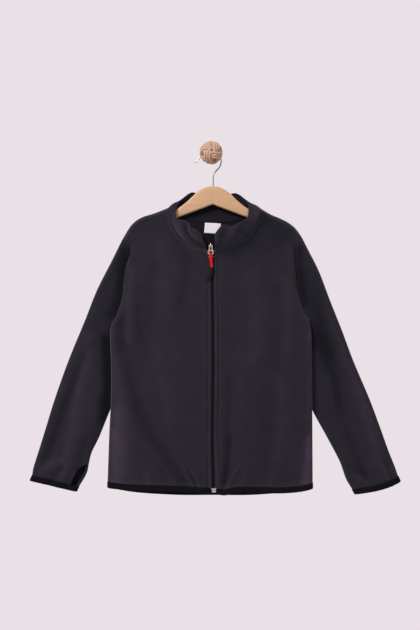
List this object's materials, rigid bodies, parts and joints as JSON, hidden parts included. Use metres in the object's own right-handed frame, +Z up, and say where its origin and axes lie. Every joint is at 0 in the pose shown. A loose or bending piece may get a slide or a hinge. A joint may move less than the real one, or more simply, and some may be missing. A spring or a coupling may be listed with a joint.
{
  "type": "zip-front fleece jacket on a wooden hanger and wall hook",
  "caption": "Stand-collar fleece jacket with a full front zip, long sleeves and bound hem and cuffs, on a wooden hanger over a rope-ball wall hook.",
  "frame": {"origin": "middle of the wall hook's back face, where it meets the wall", "axes": "+X to the viewer's right, +Y into the wall, +Z up; the jacket faces -Y"},
  "size_m": [0.7865, 0.08, 0.7458],
  "materials": {
    "fleece": "brushed knit fleece, matt with a soft nap",
    "jersey_binding": "smooth elastic jersey, matt",
    "zip_tape": "woven polyester tape",
    "zip_coil_nylon": "moulded nylon",
    "nickel_plated_zinc": "pale gold plating, polished",
    "red_rubber": "soft touch",
    "black_rubber": "soft touch",
    "label_satin": "woven satin, bare",
    "beech": "satin lacquer",
    "stained_beech": "oiled",
    "steel_wire": "polished",
    "jute_rope": "coarse woven rope"
  },
  "bodies": {
    "jacket_on_hanger": {"back": "fleece", "collar": "fleece", "cuff_binding_left": "jersey_binding", "cuff_binding_right": "jersey_binding", "front_left": "fleece", "front_right": "fleece", "hanger_hook": "steel_wire", "hanger_wood": "beech", "hem_binding_back": "jersey_binding", "hem_binding_front_left": "jersey_binding", "hem_binding_front_right": "jersey_binding", "knob_ball": "jute_rope", "knob_rosette": "stained_beech", "knob_stem": "stained_beech", "neck_label": "label_satin", "sleeve_left": "fleece", "sleeve_right": "fleece", "slider": "nickel_plated_zinc", "slider_bail": "nickel_plated_zinc", "zip_box": "nickel_plated_zinc", "zip_chain": "zip_coil_nylon", "zip_guard": "zip_tape", "zip_tape": "zip_tape"},
    "zip_pull": {"pull_tab": "nickel_plated_zinc", "pull_grip": "red_rubber", "pull_tail": "black_rubber"}
  },
  "joints": [
    {"name": "pull_hinge", "type": "hinge", "parent": "jacket_on_hanger", "child": "zip_pull", "pos_m": [0.0004, -0.05097, -0.1936], "axis": [-1, 0, 0], "range_deg": [0, 150]}
  ]
}
